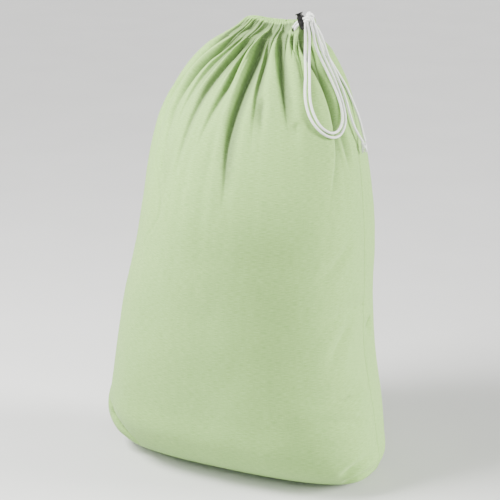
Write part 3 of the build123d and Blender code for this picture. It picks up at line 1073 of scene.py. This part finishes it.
def add_strand(soup, place, points):
    """A braided strand through points given in a knot's own coordinates, in mm."""
    soup.add_rings(braid_rings(spline_line([place(np.array(p) * MM) for p in points])))


def add_slip_knot(material):
    """The leads, loop and tail are gathered in one knot: cord wrapped round, with strands across it."""
    place = knot_space(SLIP_KNOT_CENTRE, SLIP_KNOT_UP, (0.3, -1, 0.1))
    soup = Soup()
    wraps = wrap_turns(place, 5.0 * MM, -5.2 * MM, 5.0 * MM, 2.6, 0.3)
    over = [
        (-3.2, -1.0, -7.0), (-4.6, 3.2, -4.5), (-1.8, 5.2, -1.0),
        (2.2, 5.0, 3.0), (4.4, 2.0, 6.2), (1.0, -1.6, 7.2),
    ]
    under = [(2.8, 0.6, -7.2), (0.6, 1.6, -3.0), (-0.6, 0.6, 2.0), (-2.6, 1.0, 7.0)]
    core = [(1.2, -2.6, -7.0), (0.4, -1.6, 0.0), (0.8, -2.4, 6.8)]
    soup.add_rings(braid_rings(spline_line(wraps)))
    for strand in (over, under, core):
        add_strand(soup, place, strand)
    # the loop's four ends and the two tails run up into the knot
    above = np.array([0, 0, 2.8 * MM])
    for end in (LOOP_A[0], LOOP_A[-1], LOOP_B[0], LOOP_B[-1], TAIL_A[0], TAIL_B[0]):
        rise = [end, end + above, (end + SLIP_KNOT_CENTRE) / 2 + above, SLIP_KNOT_CENTRE + above]
        soup.add_rings(braid_rings(spline_line([tuple(spot) for spot in rise])))
    knot = soup.piece("slip_knot_cord", material)
    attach(knot, "bag")
    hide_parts("slip_knot")


def add_end_knot(material):
    """Both tail ends in one overhand knot, with their cut ends fraying below it."""
    place = knot_space(END_KNOT_CENTRE, END_KNOT_DOWN, (0.3, -1, 0.1))
    soup = Soup()
    wraps = wrap_turns(place, 2.9 * MM, -3.2 * MM, 3.4 * MM, 1.8, 0.9)
    soup.add_rings(braid_rings(spline_line(wraps)))
    over = [(-1.6, -0.6, -5.8), (-2.6, 2.0, -2.6), (0.4, 3.1, 0.4), (2.6, 1.4, 3.4), (1.8, 0.0, 5.8)]
    add_strand(soup, place, over)
    for side in (-1, 1):
        add_strand(soup, place, [(2.4 * side, 0, 3.4), (2.5 * side, 0.2, 6.4), (2.7 * side, 0.1, 9.4)])
        for _ in range(FRAYED_FIBRES):
            spin = rng.uniform(0, 2 * math.pi)
            start = 1.5 * math.sqrt(rng.uniform(0, 1))
            spread = rng.uniform(1.0, 2.3)
            reach = rng.uniform(11.5, 14.2)
            fibre = []
            for t in (0.0, 0.35, 0.7, 1.0):
                width = start * (1 + (spread - 1) * t)
                across = 2.7 * side + width * math.cos(spin) + 0.4 * math.sin(5 * t + spin)
                out = 0.1 + width * math.sin(spin) + 0.4 * math.cos(4 * t + spin)
                fibre.append(place((across * MM, out * MM, (8.6 + (reach - 8.6) * t) * MM)))
            soup.add_rings(tube_rings(spline_line(fibre, 4), 0.16 * MM, 5))
    knot = soup.piece("end_knot_cord", material)
    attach(knot, "bag")
    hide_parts("end_knot")
    return knot


# ---------------------------------------------------------------------------
# Sewing
# ---------------------------------------------------------------------------
STITCH_PITCH = 2.5 * MM
BUTTONHOLE_LOOPS = 44


def ring_spot(centre, across, up, reach_across, reach_up, angle):
    """A place on an oval round a centre, its reaches in mm."""
    return centre + across * reach_across * MM * math.cos(angle) + up * reach_up * MM * math.sin(angle)


def stitch_rings(start, end, out, radius=0.30 * MM, rise=0.25 * MM):
    """One stitch: a short thread that dips into the cloth at both ends."""
    t = np.linspace(0, 1, 7)[:, None]
    arch = np.sin(math.pi * t)
    line = start * (1 - t) + end * t + out * (rise * (arch * 2 - 1.1))
    thickness = radius * (0.55 + 0.45 * np.sin(math.pi * np.linspace(0.02, 0.98, 7)))
    return tube_rings(line, thickness[:, None], 8)


def row_sampler(points, normals):
    """Places and outward directions along a closed row of cloth points, by distance run."""
    closed = np.vstack([points, points[:1]]) * MM
    outs = np.vstack([normals, normals[:1]])
    run = np.concatenate([[0], np.cumsum(np.linalg.norm(np.diff(closed, axis=0), axis=1))])

    def sample(distance):
        spot = np.array([np.interp(distance, run, closed[:, k]) for k in range(3)])
        out = unit(np.array([np.interp(distance, run, outs[:, k]) for k in range(3)]))
        return spot, out

    return sample, run[-1]


def add_casing_stitches(outside, normal, material):
    """The row of lockstitches that closes the casing, dipping and rising with the gathers."""
    row = int(np.argmin(np.abs(outside[:, 0, 2] - STITCHES)))
    sample, girth = row_sampler(outside[row], normal[row])
    soup = Soup()
    count = int(girth / STITCH_PITCH)
    for k in range(count):
        start, out = sample(girth * (k + 0.08) / count)
        end, _ = sample(girth * (k + 0.80) / count)
        soup.add_rings(stitch_rings(start, end, out))
    piece = soup.piece("casing_stitches", material)
    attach(piece, "bag")
    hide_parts("casing_stitching")


def add_buttonhole(material):
    """A worked buttonhole: close loops of thread round the slot that both leads come out of."""
    across = unit(EXIT_ACROSS)
    out = unit(EXIT_OUT)
    up = unit(np.cross(out, across))
    centre = EXIT_POINT * MM
    soup = Soup()
    for k in range(BUTTONHOLE_LOOPS):
        angle = 2 * math.pi * (k + 0.5) / BUTTONHOLE_LOOPS
        inner = ring_spot(centre, across, up, 2.7, 4.7, angle)
        outer = ring_spot(centre, across, up, 4.3, 6.3, angle)
        soup.add_rings(stitch_rings(inner - out * 0.9 * MM, outer - out * 0.3 * MM, out, 0.34 * MM, 0.8 * MM))
    rim = []
    for k in range(49):
        rim.append(ring_spot(centre, across, up, 2.75, 4.75, 2 * math.pi * k / 48) - out * 0.4 * MM)
    soup.add_rings(tube_rings(np.array(rim), 0.5 * MM, 8), capped=False)
    piece = soup.piece("buttonhole_thread", material)
    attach(piece, "bag")
    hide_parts("cord_exit_buttonhole")


def add_side_overlock(side, outside, material):
    """Overlock thread that zigzags over the two allowances inside one side seam."""
    column = 0 if side == "left" else COLUMNS // 2
    inward = 1 if side == "left" else -1
    edge = outside[:, column] * MM
    edge = edge[(edge[:, 2] > 12 * MM) & (edge[:, 2] < 716 * MM)]
    even, _ = even_line(edge, 1.5 * MM)
    zigzag = []
    for k, spot in enumerate(even):
        face = 1.3 * MM if (k // 2) % 2 else -1.3 * MM
        reach = (1.6, 8.3, 8.3, 1.6)[k % 4] * MM
        zigzag.append(spot + np.array([inward * reach, face, 0]))
    soup = Soup()
    soup.add_rings(tube_rings(np.array(zigzag), 0.3 * MM, 5))
    piece = soup.piece(side + "_overlock", material)
    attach(piece, "bag")
    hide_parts(side + "_side_seam")


def add_spring(material):
    """The coil under the plunger, standing on the barrel's floor."""
    side = unit(np.cross(BARREL_AXIS, (0, 1, 0)))
    other = np.cross(BARREL_AXIS, side)
    foot = LOCK_CENTRE + BARREL_AXIS * SPRING_FOOT
    steps = round(SPRING_TURNS * 24)
    coil = []
    for k in range(steps + 1):
        turn = 2 * math.pi * SPRING_TURNS * k / steps
        reach = side * math.cos(turn) + other * math.sin(turn)
        coil.append(foot + BARREL_AXIS * (SPRING_WIRE / 2 + SPRING_RISE * k / steps) + reach * SPRING_RADIUS)
    soup = Soup()
    soup.add_rings(tube_rings(np.array(coil), SPRING_WIRE / 2, 10))
    piece = soup.piece("coil_spring", material)
    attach(piece, "cord_lock")
    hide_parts("lock_spring")
    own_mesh(piece)


def finish_cad_nodes(cord, thread, plastic):
    """Materials for the CAD solids that keep their shape."""
    for node, material in (
        ("casing_cord", cord),
        ("bottom_seam", thread),
        ("lock_barrel", plastic),
        ("lock_plunger", plastic),
    ):
        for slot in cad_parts[node].material_slots:
            slot.material = material


# ---------------------------------------------------------------------------
# Assembly
# ---------------------------------------------------------------------------
add_camera()
add_lights()
add_floor()

cloth = cloth_material()
braid = cord_material()
thread = thread_material("sage_thread", (0.38, 0.55, 0.22), (0.28, 0.44, 0.15))
plastic = plastic_material()
finish_cad_nodes(braid, thread, plastic)
add_spring(steel_material())

add_slip_knot(braid)
end_knot = add_end_knot(braid)
for stretch, route, exit_place, far_end, lay, pieces in (
    ("lead_a", LEAD_A, LEAD_A[2], "object", "taut", []),
    ("lead_b", LEAD_B, LEAD_B[2], "object", "taut", []),
    ("loop_a", LOOP_A, LOOP_A[0], "object", "hanging", []),
    ("loop_b", LOOP_B, LOOP_B[0], "object", "hanging", []),
    ("tail_a", TAIL_A, TAIL_A[0], "knot", "hanging", [end_knot]),
    ("tail_b", TAIL_B, TAIL_B[0], "knot", "hanging", [end_knot]),
):
    add_cord(stretch + "_cord", "cord_" + stretch, route, braid, exit_place, far_end, lay, pieces)

hanging_lines = [
    even_line(spline_line(route), 1.5 * MM)[0] / MM for route in (LOOP_A, LOOP_B, TAIL_A, TAIL_B)
]
(front_cloth, back_cloth), outside, outward = add_panels(cloth, hanging_lines)
for piece, side in ((front_cloth, "front"), (back_cloth, "back")):
    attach(piece, "bag")
    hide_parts(side + "_panel", side + "_casing")
add_casing_stitches(outside, outward, thread)
add_buttonhole(thread)
add_side_overlock("left", outside, thread)
add_side_overlock("right", outside, thread)
